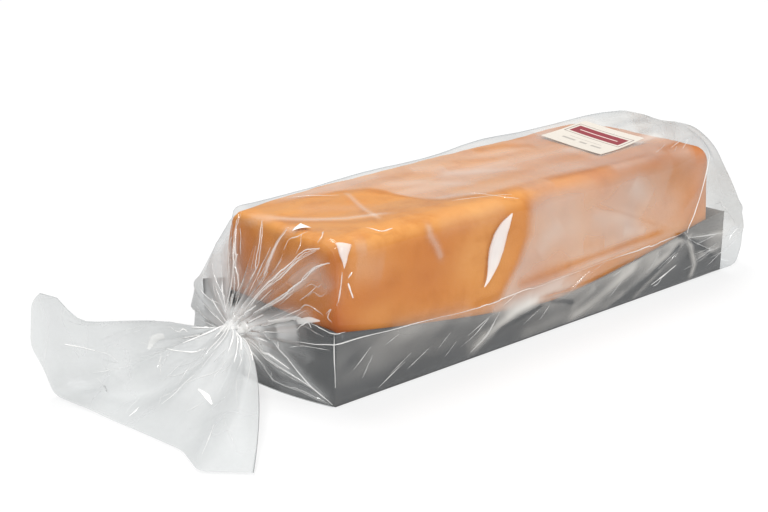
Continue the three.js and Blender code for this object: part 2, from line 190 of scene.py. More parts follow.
# Gathers that fan from the neck, over the loaf's end and down to the tray's near corner. The rows are as above.
FAN = (
    (0.4, 0.4, 0.6, -169.5, 6, 36, -163.3, 8.9, 46.8, -157, 14.3, 60.3, -154.2, 17, 66.7, -150.1, 21.3, 75),
    (0.45, 0.45, 0.7, -169.5, 2, 37, -163.6, 3.5, 46.8, -160.5, 7.8, 54.8, -156.6, 14.1, 61.5, -151.9, 18.1, 71, -147.8,
     20.4, 78.9),
    (0.4, 0.45, 0.75, -169.8, -2, 38, -164, -3, 46, -159, -3.6, 54.2, -156.5, -2.5, 60.7, -153, -0.7, 70.5, -148.2, 3.7,
     78),
    (0.8, 0.45, 0.55, -169.5, -6, 39, -161.2, -9, 51.9, -158, -11.3, 58.2, -155.7, -12.4, 64.9, -152.2, -13.5, 72.3,
     -148.1, -15.3, 77.7),
    (0.45, 0.45, 0.8, -169, -8, 41, -163.2, -14.8, 51.4, -158.9, -20.8, 58.8, -155.1, -27.5, 66, -151.6, -32.8, 71.8,
     -149.6, -41.2, 75.3),
    (0.35, 0.4, 0.7, -169, -9, 40, -163.3, -14.7, 49.9, -158.2, -23.8, 58.9, -154, -32, 68.3, -150.7, -39.7, 73.7),
    (0.45, 0.45, 0.65, -168, -14, 41, -161.5, -28.3, 50.6, -158.7, -32.4, 55.9, -155.6, -37.5, 61.3, -153.4, -42, 66.8,
     -149.6, -48.2, 69.8),
    (0.35, 0.4, 0.55, -168, -15, 42, -160.4, -30, 52.3, -156.3, -36.1, 59.2, -154.3, -40.3, 64.6, -150.6, -45.9, 69),
    (0.45, 0.5, 0.7, -170, -9, 34, -165.5, -16.9, 32.6, -162.5, -22.8, 28, -159.8, -30.4, 20, -156.8, -41.2, 9.9,
     -151.9, -49.7, 2.7),
    (0.45, 0.5, 0.65, -171, -8, 31, -167.2, -13.6, 29.6, -164.3, -19.4, 20.4, -160.3, -30.9, 14.2, -155.7, -43.5, 7.8,
     -151.3, -51.1, 1.4),
    (0.35, 0.4, 0.45, -170, -4, 27, -166.8, -7.3, 22.6, -163.5, -13.6, 15.9, -160.5, -19.4, 7.7, -157.7, -34.8, 6.6,
     -151.9, -49.7, 1.6),
)

# Bright facets of film, crisp at their edges, most of them painted highlights where the lamps reflect: how white, and
# then points, each with half the facet's width there.
GLINTS = (
    (0.62, -33.3, -52.2, 71.4, 0.4, -37.3, -52.3, 67.2, 3.6, -41.2, -52.3, 62.1, 5.2, -44.5, -52.3, 54.4, 5.6, -47.4,
     -52.4, 45.8, 4.5, -50.8, -52.5, 39.3, 2.2, -53, -52.7, 37, 0.3),
    (0.85, -140.3, -15.8, 79.5, 0.3, -142.3, -18.7, 79.1, 2.6, -144.8, -22, 78.6, 5),
    (0.52, -142.3, -49, 77.7, 4.4, -144.2, -51.5, 73.7, 2.4, -144.7, -52.3, 67.2, 0.2),
    (0.55, -164.6, -20.6, 37.7, 0.8, -158.7, -29.7, 39.8, 2.6, -155.3, -37.3, 40.9, 2.6, -152.6, -44.1, 41.6, 0.3),
    (0.5, -177, -1, 30, 2.4, -174.2, -2.4, 33.4, 4.4, -171.5, -3.6, 36, 4, -168.5, -4.8, 39, 1.4),
    (0.6, -173.5, -5, 33, 2, -170.5, -9.5, 33, 3.2, -167, -14.5, 34.5, 0.6),
    (0.5, -203.7, 22.2, 21.7, 0.8, -199.8, 20.8, 26.7, 2.4, -196.9, 18.3, 27.6, 1.6),
    (0.85, -204.5, -19.7, 14.6, 0.4, -204.3, -24.6, 13.4, 1.5, -205.8, -32.2, 11.7, 0.4),
)

# Soft changes of the haze, some of them painted highlights and painted shade: half the width, how much hazier (or
# clearer, below 0), and then the points.
SOFT = (
    # Over the front, past the loaf's first third.
    (7, 0.05, -15, -52.3, 53, 15.7, -52.3, 54, 44.8, -52.3, 51.4),
    (5, 0.1, 27.4, -52.3, 58, 53.1, -52.3, 52.5, 72, -52.3, 46),
    (6, 0.08, -14, -52.3, 46, 4, -52.3, 60),
    (5, -0.1, 22, -52.3, 43, 40, -52.3, 41),
    (6.5, 0.12, 62, -52.3, 70.7, 69.7, -52.3, 63.7, 79, -52.3, 57.3),
    (2.8, -0.17, -30, -53.5, 32.8, -13, -53.5, 34, 12, -53.5, 34.8),
    (2, -0.24, 8, -53.5, 34.8, 34, -53.5, 35.6, 62, -53.5, 36.6, 92, -54, 37.6),
    (3, 0.12, 55, -52.3, 44, 75, -52.3, 40.5),
    (4, -0.07, 30, -51.5, 74.2, 90, -51.7, 76),
    (11, -0.14, 95, -52.3, 70, 112, -52.3, 62, 120, -52.3, 50),
    (7, -0.12, 118, -50, 78, 142, -50, 80),
    # A thin clearer line along a fold, where the crust shows darker: painted shade.
    (1.2, -0.14, 31.4, -53, 63.1, 51.7, -53.3, 55.9, 78.8, -53.5, 44.9, 100.5, -55.1, 35.6),
    # Under the taut fold.
    (5, 0.17, -118, -54, 29, -90, -54, 28, -62, -54, 26),
    (4.5, 0.22, -40, -54, 20, -12, -54.5, 24, 6, -54.5, 25),
    (5, 0.16, -50, -54, 24, -18, -54, 22),
    # Over the top, in long bands.
    (4, 0.08, -109, 23.4, 80, -85.3, 20.2, 80, -61.2, 16.3, 80),
    (6, 0.16, -44, 12, 82, -24, 5, 82),
    (4, -0.1, -16.8, 9.3, 82, 10.4, -1.9, 82),
    (5, 0.1, -73.6, 2.5, 81, -47.8, -7.4, 81, -28.8, -24.9, 81),
    (3.5, 0.12, -32.6, 0.8, 82, -11.8, -8.4, 82, 7.1, -19.7, 82),
    (5, -0.2, 5, 14, 84, 28, 10, 84, 45, 2, 84),
    (6, 0.1, -40, -2, 82, -20, -6, 82, 12, -5, 83),
    (6, 0.36, 98, -24, 82, 106, -22, 82, 118, -28, 82),
    (4, 0.22, 50, -46, 80, 78, -45.5, 80, 100, -43, 81),
    (4, -0.12, 20, 24, 86, 50, 18, 86),
    (5, 0.1, 32.2, 3.5, 83, 56.5, -4.8, 83, 58.3, -32.4, 81),
    (4, 0.12, -18, -44, 80, 4, -44, 80),
    (4, 0.12, 100, -48, 80, 116, -50, 79),
    (7, 0.12, 100, 15, 84, 120, 5, 84, 130, -15, 84),
    (2.6, 0.3, -149, 14.8, 76, -145.3, 1.2, 77.4, -136.3, -10.4, 78.7, -121.5, -25.9, 79.1, -100.5, -34.6, 79.6),
    (1.3, 0.22, -93.7, 5.7, 80.3, -99.2, -8.3, 79.6, -111.3, -39.5, 79.6),
    (6, 0.06, -128, 2, 80, -112, -10, 80, -100, -20, 80),
    # Over the loaf's near end, and beside its near edge.
    (7, 0.08, -160, -12, 60, -154, -10, 72),
    (6, 0.06, -160, 12, 50, -154, 15, 70),
    (4, 0.14, -163, -2, 49, -158.5, -2, 58),
    (6, 0.27, -157, -30, 56, -153, -40, 66, -150, -48, 55),
    (3, 0.2, -150, -13, 77.5, -146.5, -21, 79),
    (2, 0.26, -90.6, -50, 77, -90.7, -52.2, 71.9, -86.1, -52.3, 65.4, -82.7, -52.3, 58),
    (8, 0.1, -138, -52, 66, -120, -52, 62),
    (4, 0.12, -137, -51, 75, -130, -51, 74),
    # The folded film between the knot and the tray's near corner, and round the knot.
    (3.2, 0.3, -166, -18, 36.5, -160.5, -27.5, 41.5, -156.8, -35, 43, -153.8, -40.8, 42.6),
    (4, 0.13, -172, -12, 30, -164, -22, 25, -158, -35, 14, -151.5, -50, 4),
    (4, 0.22, -168, -14, 29, -163, -21, 24),
    (5, 0.3, -166, 15, 25, -162, 27, 20),
    (3.5, 0.16, -159, -20, 3, -156, -38, 3, -151.5, -50, 3),
    (4.5, 0.22, -171, -13, 27, -166, -20, 20, -161, -30, 13),
    (5, 0.75, -163, -24, 33.5, -157.5, -34, 35.5),
    (5, 0.17, -162, -26, 27, -157, -36, 26, -155.5, -41, 21),
    (4, 0.3, -176, 9, 28, -182, 7, 27),
    (6, -0.12, -184, -34, 21, -190, -35, 20),
    # Bands of painted highlight and painted shade along the folds over the tray's front, as more and less haze.
    (2.8, 0.42, -62, -53, 4, -53, -53.4, 9.5, -43, -53.8, 14.2, -30, -54.2, 18.6, -12, -54.2, 21.4),
    (1.2, -0.3, -44, -53.2, 9.8, -39.6, -53.4, 11.9, -25.5, -53.5, 14.2, -9, -53.7, 17),
    (4.5, 0.2, -26, -52.5, 4, 6, -52.8, 6, 46, -52.8, 5),
    (2.6, 0.16, 14, -53.4, 9, 24, -53.6, 13, 34, -53.8, 17),
    (3.5, 0.12, 44, -53, 8, 60, -53.2, 7),
    (4, 0.12, -66, -53, 8, -52, -53.4, 13),
    (4, -0.24, 86, -55, 25, 106, -55.2, 25),
    (1.4, -0.22, -4, -53.9, 18, 10.1, -53.7, 14.6, 16, -53.7, 12),
    (3, 0.3, 12, -52.6, 2, 30, -53, 8, 50, -53.6, 15, 70, -54, 22),
    (2.4, 0.13, 40, -52.6, 1, 52, -52.6, 5, 68.3, -53.4, 11.6, 87.6, -54.3, 19.6, 98, -55, 24.5),
    (1.2, -0.34, 47.4, -52, 0.5, 66.4, -53.1, 6.2, 82, -53.3, 12, 94, -53.8, 19),
    (1.8, 0.2, 68, -52.6, 1, 78, -53.2, 7, 92, -54.1, 14.5),
    (1.8, -0.4, 84, -53.2, 13, 97.7, -54.8, 20.6, 106, -55.4, 27),
    (1.8, 0.42, 121, -52.6, 2, 123.6, -53.7, 10, 117.5, -54.7, 22.6, 110.6, -56.5, 30.6),
    (1.8, 0.2, 111.2, -56.4, 29.4, 130.6, -54.9, 26.8, 149, -54.1, 24.6),
    (2.2, 0.2, 124.3, -54.2, 15.3, 138.7, -54.2, 15.9, 149.7, -53.6, 17.1),
    (1.4, -0.3, 100.6, -55.7, 34.1, 122.1, -55, 24, 144.3, -53.5, 8.5),
    (1.1, -0.2, -14.5, -54.4, 22.2, 8.8, -54.4, 21.2, 38, -54.3, 22.8, 74.7, -55.4, 28),
    # Under the top edge of the front, by the largest facet.
    (5, 0.07, -85, -51, 74, -60, -51, 74, -36, -51, 75),
    # Clouds in the tail, and the clearer places by the neck.
    (7, -0.18, -219, 26, 10, -208, 26, 22, -199, 21, 24),
    (7, 0.12, -196, 4, 20, -205, -20, 14, -212, -40, 10),
    (7, -0.1, -214, -52, 8, -206, -44, 12),
    (5, -0.08, -200, -4, 18, -212, -6, 10),
    (1.9, -0.55, -154.2, 46.5, 40.6, -159.4, 38.2, 33.6),
    (3, -0.8, -164.4, 9.1, 44.5, -166.7, 5, 42.6, -168.5, 0, 41.6),
    (3.6, 0.42, -179, -2, 29.5, -172.7, -5.5, 33.7, -168, -13, 33, -163, -19, 38.5),
    (4, 0.2, -166, 18, 33, -163, 26, 31),
    (4.5, 0.16, -183, -10, 25.6, -187, 1, 25.2),
    # Behind the label.
    (6, 0.2, 60, 14, 85, 86, 26, 86, 112, 18, 85),
)

# ---- Small helpers ----
def lerp(a, b, t):
    return a + (b - a) * t


def ease(start, end, value):
    t = np.clip((value - start) / (end - start), 0, 1)
    return t * t * (3 - 2 * t)


def window(value, low, full, still, high):
    """0 below low and above high, and 1 from full to still."""
    return ease(low, full, value) * ease(high, still, value)


def bell(value, middle, width):
    """1 at the middle, and falling away on both sides."""
    return np.exp(-(((value - middle) / width) ** 2))


def hump(share):
    """0 at shares 0 and 1, and 1 between them."""
    return np.sin(math.pi * share)


def unit(vectors):
    return vectors / np.maximum(np.linalg.norm(vectors, axis=-1, keepdims=True), 1e-9)


def axes(points):
    return points[..., 0], points[..., 1], points[..., 2]


def distances(line):
    """How far along a line of points each point is."""
    return np.concatenate(([0], np.cumsum(np.linalg.norm(np.diff(line, axis=0), axis=1))))


def split_rows(table, count, size=3):
    """Each row's first numbers, and the rest of it as points."""
    return [(row[:count], np.reshape(row[count:], (-1, size)).astype(float)) for row in table]


def crumple(u, v, scale, seed, waves=7):
    """Flat facets that meet in sharp lines, from about -1 to 1, as in creased film."""
    rng = np.random.default_rng(seed)
    total, most = 0, 0
    for _ in range(waves):
        angle, size = rng.uniform(0, math.pi), scale * rng.uniform(0.5, 1.7)
        along = u * math.cos(angle) + v * math.sin(angle)
        across = v * math.cos(angle) - u * math.sin(angle)
        wander = 0.4 * np.sin(across / size * rng.uniform(0.6, 1.6) + rng.uniform(0, 6))
        phase = along / size + wander + rng.uniform(0, 1)
        total = total + size * (np.abs((phase % 1) * 2 - 1) * 2 - 1)
        most += size
    return total / most * 1.6


def soft_noise(u, v, scale, seed, waves=9):
    rng = np.random.default_rng(seed)
    total = 0
    for _ in range(waves):
        angle, size = rng.uniform(0, math.pi), scale * rng.uniform(0.6, 2.0)
        total = total + np.sin((u * math.cos(angle) + v * math.sin(angle)) * 2 * math.pi / size + rng.uniform(0, 6))
    return total / math.sqrt(waves)


def curve(line, share):
    """Points at shares of a smooth curve through the given points."""
    if len(line) < 3:
        return lerp(line[0], line[-1], share[:, None])
    runs = distances(line)
    at = share * runs[-1]
    slopes = np.gradient(line, runs, axis=0)
    i = np.clip(np.searchsorted(runs, at, side="right") - 1, 0, len(runs) - 2)
    step = (runs[i + 1] - runs[i])[:, None]
    t = (at - runs[i])[:, None] / step
    rise = (1 - t) ** 2 * t * step * slopes[i] - t**2 * (1 - t) * step * slopes[i + 1]
    return lerp(line[i], line[i + 1], t * t * (3 - 2 * t)) + rise


def to_segments(points, line):
    """The distance from each point to a line of points, and how far along the line it is, 0 to 1."""
    runs = distances(line)
    best = np.full(points.shape[:-1], 1e9)
    along = np.zeros(points.shape[:-1])
    for i, step in enumerate(np.diff(line, axis=0)):
        run = np.linalg.norm(step)
        way = step / run
        t = np.clip((points - line[i]) @ way, 0, run)
        gap = np.linalg.norm(points - (line[i] + t[..., None] * way), axis=-1)
        nearer = gap < best
        best = np.where(nearer, gap, best)
        along = np.where(nearer, (runs[i] + t) / runs[-1], along)
    return best, along


def soft_features(points):
    """The haze, with its painted highlights and shade, that the soft features add at each point, and how far they and
    the gathers lift the film.
    """
    haze, lift = np.zeros((2, *points.shape[:-1]))
    for (half, amount), line in split_rows(SOFT, 2):
        gap, along = to_segments(points, line)
        share = bell(gap, 0, half) * ease(-0.02, 0.12, along) ** 0.5 * ease(1.02, 0.88, along) ** 0.5
        haze += amount * share
        lift += 0.5 * max(amount, 0) * share
    for _, line in split_rows(FAN, 3):
        gap, along = to_segments(points, line)
        haze += 0.12 * ease(2.6, 0.4, gap) * ease(1, 0.8, along)
        lift = np.maximum(lift, 1.1 * ease(3, 0, gap) * ease(1, 0.85, along))
    return haze, lift


# ---- The body's cross-section, from the same rules as the solids ----
def wall_height(x):
    return lerp(MIDDLE_HEIGHT, CORNER_HEIGHT, np.minimum(np.abs(x) / HALF_LENGTH, 1) ** TRAY_DIP)


def end_inset(x):
    past = np.clip((NEAR_EDGE - HALF_LENGTH - x) / NEAR_EDGE, 0, 0.8)
    return NEAR_EDGE * (1 - np.sqrt(1 - past * past))


def back_rise(x):
    return BACK_RISE * ease(-HALF_LENGTH, HALF_LENGTH / 2, x) + 1.4 * ease(-150, -110, x)


def top_height(x, y):
    front = -HALF_WIDTH + LOAF_EDGE
    back = LOAF_BACK - BACK_EDGE
    across = (y - front) / (back - front)
    base = LOAF_TOP + FILM_GAP - end_inset(x)
    front_top = base + END_LIFT * ease(HALF_LENGTH / 2, HALF_LENGTH, x) + 0.5 * np.sin(x / 21)
    back_top = base + back_rise(x) + 0.6 * np.sin(x / 14)
    return lerp(front_top, back_top, across) - TOP_SAG * hump(across)


def section(x, s):
    """The y and z of the film at places s round the cross-section at x."""
    inset = end_inset(x)
    edge = lerp(LOAF_EDGE, END_EDGE, ease(LOAF_LENGTH - HALF_LENGTH - LOAF_EDGE, HALF_LENGTH, x))
    rim = wall_height(x)
    wall = FOOT + TRAY_FLARE
    front, back = -FOOT + inset, LOAF_BACK + FILM_GAP - inset
    z_front = top_height(x, front + edge) - edge
    z_back = top_height(x, back - BACK_EDGE) - BACK_EDGE
    fold = np.interp(x, FOLD_X, FOLD_Z)
    out = np.interp(x, FOLD_X, FOLD_OUT)
    # How far along each stretch a place is, 0 to 1.
    hem, low, high, brow, top, turn, slope, drop, heel, base = [(s - a) / (b - a) for a, b, _ in STRETCHES]

    def arc(y, z, radius, degrees):
        angle = np.radians(degrees)
        return y + radius * np.cos(angle), z + radius * np.sin(angle)

    z = lerp(fold, z_front, high)
    over_rim = 1.5 * bell(z, rim, 3.0) * (rim > fold)
    proud = np.maximum(out * np.exp(-np.maximum(z - fold, 0) / 5), over_rim)
    y_top = lerp(front + edge, back - BACK_EDGE, top)
    swell = SLOPE_SWELL * hump(slope)
    pieces = (
        arc(-FOOT + FILM_HEM, FILM_HEM, FILM_HEM, 270 - 90 * hem),
        (-FOOT - out * np.maximum(low, 0) ** 0.8, lerp(FILM_HEM, fold, low)),
        (lerp(-FOOT, front, high) - proud, z),
        arc(front + edge, z_front, edge, 180 - 90 * brow),
        (y_top, top_height(x, y_top)),
        arc(back - BACK_EDGE, z_back, BACK_EDGE, 90 - 90 * turn),
        (lerp(back, wall, slope) + 0.85 * swell, lerp(z_back, rim, slope) + 0.5 * swell),
        (lerp(wall, FOOT, drop), lerp(rim, FILM_HEM, drop)),
        arc(FOOT - FILM_HEM, FILM_HEM, FILM_HEM, -90 * heel),
        (lerp(FOOT - FILM_HEM, -FOOT + FILM_HEM, base), 0 * x),
    )
    shape = np.broadcast(x, s).shape
    where = [np.broadcast_to((s >= a) & (s < b), shape) for a, b, _ in STRETCHES]
    return [np.select(where, [np.broadcast_to(p[axis], shape) for p in pieces]) for axis in (0, 1)]


# ---- The closed end ----
def end_reach(z):
    low = lerp(END_FOOT, END_BELLY, np.sin((math.pi / 2) * np.minimum(z / BELLY_HEIGHT, 1)))
    return lerp(low, END_TOP, ease(BELLY_HEIGHT, SHOULDER, z))


def spread_front(y, z, lean):
    return np.where(y < 0, y * (1 + FRONT_SPREAD * lean * ease(SHOULDER, BELLY_HEIGHT, z)), y)


def body_loops(x, s):
    lean = ease(HALF_LENGTH - LEAN_LENGTH, HALF_LENGTH, x)
    y, z = section(x, s)
    shift = (end_reach(z) - END_ROUND - HALF_LENGTH) * lean
    return np.stack([x + shift, spread_front(y, z, lean), z], -1)


def end_loops(size, s):
    out = (1 - size**4) ** 0.25
    y, z = section(np.full_like(size, HALF_LENGTH), s)
    y = lerp(END_MIDDLE[0], spread_front(y, z, 1), size)
    z = lerp(END_MIDDLE[1], z, size)
    return np.stack([end_reach(z) - END_ROUND * (1 - out), y, z], -1)


# ---- The gathered end ----
def neck_angle(s):
    return 211.5 - 4.5 * s


def neck_points(s, along, radius, crimp):
    angle = np.radians(neck_angle(s))
    reach = radius * (1 + NECK_CRIMP * crimp)
    around = (reach * np.cos(angle))[..., None] * NECK_ACROSS + (reach * np.sin(angle))[..., None] * NECK_UP
    return NECK_CENTRE + along * NECK_AXIS + around


def rim_loop(s):
    x = np.full((1, 1), -HALF_LENGTH + 1.5)
    y, z = section(x, s)
    low = 1 - np.minimum(z / CORNER_HEIGHT, 1)
    bow = END_BOW * (1 - (y / FOOT) ** 2) * low
    wall = (FILM_GAP + 1.5) * ease(CORNER_HEIGHT + 4, CORNER_HEIGHT, z)
    return np.stack([x - wall - bow, y, z], -1)[0]


def gathers(s, seed=PLEAT_SEED):
    """Sharp irregular pleats round the neck, from -1 to 1."""
    rng = np.random.default_rng(seed)
    knots = np.cumsum(rng.uniform(0.5, 1.7, PLEATS))
    knots = np.append(0, knots / knots[-1] * ROUND)
    heights = np.where(np.arange(PLEATS) % 2 == 0, 1, -1) * rng.uniform(0.35, 1.0, PLEATS)
    heights[-1] = heights[0]
    return np.interp(s, knots, np.append(heights[0], heights))


def cone_loops(t, s):
    rim = rim_loop(s)[None]
    folds = gathers(s)
    t = t[:, None]
    target = neck_points(s, -4, NECK_RADIUS + 0.8, folds)[None]
    points = lerp(rim, target, t[..., None])
    away = unit((points - NECK_CENTRE) * (0, 1, 1))
    depth = 2.6 * hump(np.minimum(t * 1.12, 1)) * ease(0, 0.35, t)
    points = points + (folds * depth)[..., None] * away
    # The ear stands out behind the neck.
    aim = np.degrees(np.arctan2(rim[..., 2] - EAR_HEIGHT, rim[..., 1]))
    behind = np.where(rim[..., 1] > 0, np.maximum(0, 1 - (aim / EAR_SPREAD) ** 2), 0)
    points[..., 1] += EAR_REACH * behind**1.5 * hump(t**0.8)
    points[..., 2] = np.maximum(points[..., 2], 0.3 * t)
    return points


# ---- The tail ----
def eased_mouth(share, t):
    """Points on the mouth, rounded more near the neck."""
    reach = np.minimum(np.minimum(EASE_MOUTH + EASE_NECK * (1 - t), share), 1 - share)
    runs = distances(MOUTH)
    at = [(share + k / 2 * reach) * runs[-1] for k in range(-2, 3)]
    return sum(np.stack([np.interp(a, runs, column) for column in MOUTH.T], -1) for a in at) / len(at)


def tail_middle(across, t):
    start = NECK_CENTRE + (NECK_RADIUS * np.cos(math.pi * across))[..., None] * NECK_ACROSS
    points = lerp(start, eased_mouth(across, t), t[..., None])
    sag = np.interp(t, TAIL_SAG_AT, TAIL_SAG) * (1 - across) ** 3
    swell = FRONT_SWELL * np.sqrt(t) * (1 - t) * across**2
    ripple = TAIL_RIPPLE * hump(t) * hump(2 * TAIL_RIPPLES * across)
    return points + np.stack([0.74 * swell, -0.67 * swell, ripple - sag], -1)


def tail_normal(across, t):
    step = 0.02
    along_t = tail_middle(across, np.minimum(t + step, 1)) - tail_middle(across, np.maximum(t - step, 0))
    along_s = tail_middle(np.minimum(across + step, 1), t) - tail_middle(np.maximum(across - step, 0), t)
    return unit(np.cross(along_t, along_s))


def tail_loops(t, s):
    angle = neck_angle(s) % 360
    above = angle <= 180
    across = np.where(above, angle, 360 - angle) / 180
    t, across, above = np.broadcast_arrays(t[:, None], across[None], above[None])
    fill = lerp(TAIL_THICKNESS / 2, NECK_RADIUS, np.exp(-NECK_FILL * t))
    half = fill * hump(across) ** lerp(1, 0.4, t)
    turned = ease(0, 0.25, t)[..., None]
    normal = unit(lerp(NECK_UP, tail_normal(across, t), turned))
    side = np.where(above, 1.0, -1.0)
    points = tail_middle(across, t) + (side * half)[..., None] * normal
    # Creases that run out from the neck, and looser ones across them.
    fan = gathers(across * 34 + np.where(above, 0, 3), 11) * np.exp(-2.2 * t) * ease(0, 0.08, t)
    loose = crumple(across * 150, t * 75, 38, 3, 5) * ease(0.1, 0.45, t) * (1 - 0.4 * ease(0.9, 1, t))
    lift = (1.2 * fan + 0.9 * loose) * hump(across) ** 0.3
    points = points + (lift + 0.25)[..., None] * normal
    points[..., 2] = np.maximum(points[..., 2], np.where(above, 0.9, 0.15))
    return points


# ---- Meshes ----
def grid_faces(rows, columns, wrap=True):
    faces = []
    for r in range(rows - 1):
        for c in range(columns if wrap else columns - 1):
            a, b = r * columns + c, r * columns + (c + 1) % columns
            faces.append((a, b, b + columns, a + columns))
    return faces


def close_ends(points, ends=(0, -1)):
    """The points and faces of loops that are shut by a fan over the first, and over the last."""
    rows, columns = points.shape[:2]
    flat, faces = points.reshape(-1, 3).tolist(), grid_faces(rows, columns)
    for r in ends:
        start = (r % rows) * columns
        for c in range(columns):
            pair = (start + c, start + (c + 1) % columns)
            faces.append((len(flat), *(pair if r else pair[::-1])))
        flat.append(points[r].mean(0).tolist())
    return flat, faces


def grid_normals(points):
    across = (np.roll(points, -1, 1) - np.roll(points, 1, 1)) / 2
    return unit(np.cross(across, np.gradient(points, axis=0)))


def make(name, points, faces, material, replaces, slot, smooth=True, **layers):
    """A piece that rides the pack's one body. Each layer has a number from 0 to 1 for every point."""
    mesh = bpy.data.meshes.new(name)
    mesh.from_pydata((np.asarray(points).reshape(-1, 3) * MM).tolist(), [], faces)
    for key, values in layers.items():
        layer = mesh.attributes.new(key, "FLOAT", "POINT")
        layer.data.foreach_set("value", np.clip(np.asarray(values, np.float32).ravel(), 0, 1))
    mesh.materials.append(material)
    mesh.polygons.foreach_set("use_smooth", [smooth] * len(mesh.polygons))
    mesh.update()
    piece = bpy.data.objects.new(name, mesh)
    bpy.context.scene.collection.objects.link(piece)
    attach(piece, "root")
    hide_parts(replaces)
    return piece


# ---- Materials ----
class Nodes:
    """A short way to write a node tree."""

    def __init__(self, name):
        self.material = bpy.data.materials.new(name)
        self.material.use_nodes = True
        self.tree = self.material.node_tree
        self.tree.nodes.clear()
        self.output = self.tree.nodes.new("ShaderNodeOutputMaterial")

    def add(self, kind, inputs, output=0, **settings):
        """A node's output socket, once its settings are made and its inputs are set or linked."""
        node = self.tree.nodes.new("ShaderNode" + kind)
        for key, value in settings.items():
            setattr(node, key, value)
        for key, value in inputs.items():
            if isinstance(value, bpy.types.NodeSocket):
                self.tree.links.new(value, node.inputs[key])
            else:
                node.inputs[key].default_value = value
        return node.outputs[output]

    def math(self, operation, a, b=0.0, clamp=False):
        return self.add("Math", {0: a, 1: b}, operation=operation, use_clamp=clamp)

    def times(self, a, b, clamp=False):
        return self.math("MULTIPLY", a, b, clamp)

    def noise(self, vector, scale, detail=3.0, roughness=0.5, distortion=0.0):
        inputs = {"Vector": vector, "Scale": scale, "Detail": detail, "Roughness": roughness, "Distortion": distortion}
        return self.add("TexNoise", inputs)

    def ramp(self, factor, low, high, to_low=0.0, to_high=1.0):
        inputs = {"Value": factor, "From Min": low, "From Max": high, "To Min": to_low, "To Max": to_high}
        return self.add("MapRange", inputs, clamp=True)

    def blend(self, factor, a, b):
        return self.add("Mix", {0: factor, 6: a, 7: b}, 2, data_type="RGBA")

    def place(self, scale=(1, 1, 1), turn=(0, 0, 0)):
        source = self.add("TexCoord", {}, "Object")
        return self.add("Mapping", {"Vector": source, "Scale": scale, "Rotation": turn})

    def layer(self, name):
        return self.add("Attribute", {}, "Fac", attribute_name=name)

    def bump(self, height, strength, distance=0.001):
        return self.add("Bump", {"Height": height, "Strength": strength, "Distance": distance})

    def solid(self, colour, roughness, normal, specular=0.5):
        inputs = {"Base Color": colour, "Roughness": roughness, "Normal": normal, "Specular IOR Level": specular}
        return self.add("BsdfPrincipled", inputs)

    def finish(self, surface):
        self.tree.links.new(surface, self.output.inputs["Surface"])
        return self.material


def film_material(name, white, rough=0.1, through=0.0, shine=0.03):
    """Clear film that the haze layer turns milky, and whiter where it paints highlights. With through above 0 its milk
    also lets light past.
    """
    n = Nodes(name)
    bump = n.bump(n.noise(n.place((14, 45, 45), (0.2, 0.1, 0.3)), 1.0, 2, 0.5, 0.3), 0.15)
    facing = n.add("LayerWeight", {"Blend": 0.5, "Normal": bump}, "Facing")
    sheen = n.math("ADD", n.times(n.math("POWER", facing, 6.5), 0.8), shine, True)
    slant = n.math("MAXIMUM", n.math("POWER", facing, 4.0), n.layer("grey"))
    slant = n.blend(slant, (0.925, 0.932, 0.932, 1), (0.55, 0.575, 0.59, 1))
    clear = n.add("BsdfTransparent", {"Color": slant})
    gloss = n.add("BsdfGlossy", {"Color": (1, 1, 1, 1), "Roughness": rough, "Normal": bump})
    plain = n.add("MixShader", {0: sheen, 1: clear, 2: gloss})
    white = (*white, 1)
    if through:
        # Whiter near the neck: whiter gathered film, and painted light.
        white = n.blend(n.layer("whiter_and_painted_light"), white, (0.97, 0.97, 0.96, 1))
        milk_and_painted_light = n.solid(white, 0.4, bump, 0.08)
        milk_and_painted_light = n.add("MixShader", {0: through, 1: milk_and_painted_light, 2: n.add("BsdfTranslucent", {"Color": white})})
    else:
        milk_and_painted_light = n.solid(white, 0.4, bump, 0.25)
    patchy = n.ramp(n.noise(n.place(), 30, 2, 0.5, 0.2), 0.3, 0.7, 0.86, 1.14)
    haze = n.times(n.layer("haze"), patchy, True)
    return n.finish(n.add("MixShader", {0: haze, 1: plain, 2: milk_and_painted_light}))


def crust_material():
    n = Nodes("golden_crust")
    place = n.place()
    broad = n.noise(n.place((9, 16, 16)), 1.0, 3, 0.5, 0.4)
    mottle = n.noise(place, 55, 5, 0.62, 0.2)
    pores = n.noise(place, 420, 3, 0.7)
    colour = n.blend(n.ramp(broad, 0.38, 0.66), (0.62, 0.2, 0.026, 1), (0.74, 0.28, 0.045, 1))
    # Paler crust, and also painted light over the top and a painted highlight along the front's upper edge.
    pale = n.times(n.layer("pale"), n.ramp(mottle, 0.3, 0.6, 1.0, 0.7), True)
    colour = n.blend(pale, colour, (0.86, 0.42, 0.12, 1))
    colour = n.blend(n.ramp(mottle, 0.5, 0.75, 0.0, 0.5), colour, (0.5, 0.15, 0.014, 1))
    toast = n.times(n.layer("toast"), n.ramp(mottle, 0.3, 0.6, 0.7, 1.0), True)
    colour = n.blend(toast, colour, (0.46, 0.11, 0.014, 1))
    bump = n.bump(n.math("ADD", n.times(pores, 0.5), mottle), 0.35)
    return n.finish(n.solid(colour, n.ramp(mottle, 0.3, 0.7, 0.5, 0.7), bump, 0.25))


def board_material():
    n = Nodes("dark_board")
    grain = n.noise(n.place((25, 25, 60)), 1.0, 3, 0.5)
    cloud = n.noise(n.place(), 30, 3, 0.5)
    colour = n.blend(n.ramp(cloud, 0.3, 0.7), (0.062, 0.063, 0.065, 1), (0.1, 0.102, 0.104, 1))
    return n.finish(n.solid(colour, n.ramp(grain, 0.3, 0.7, 0.35, 0.5), n.bump(grain, 0.2, 0.0004)))


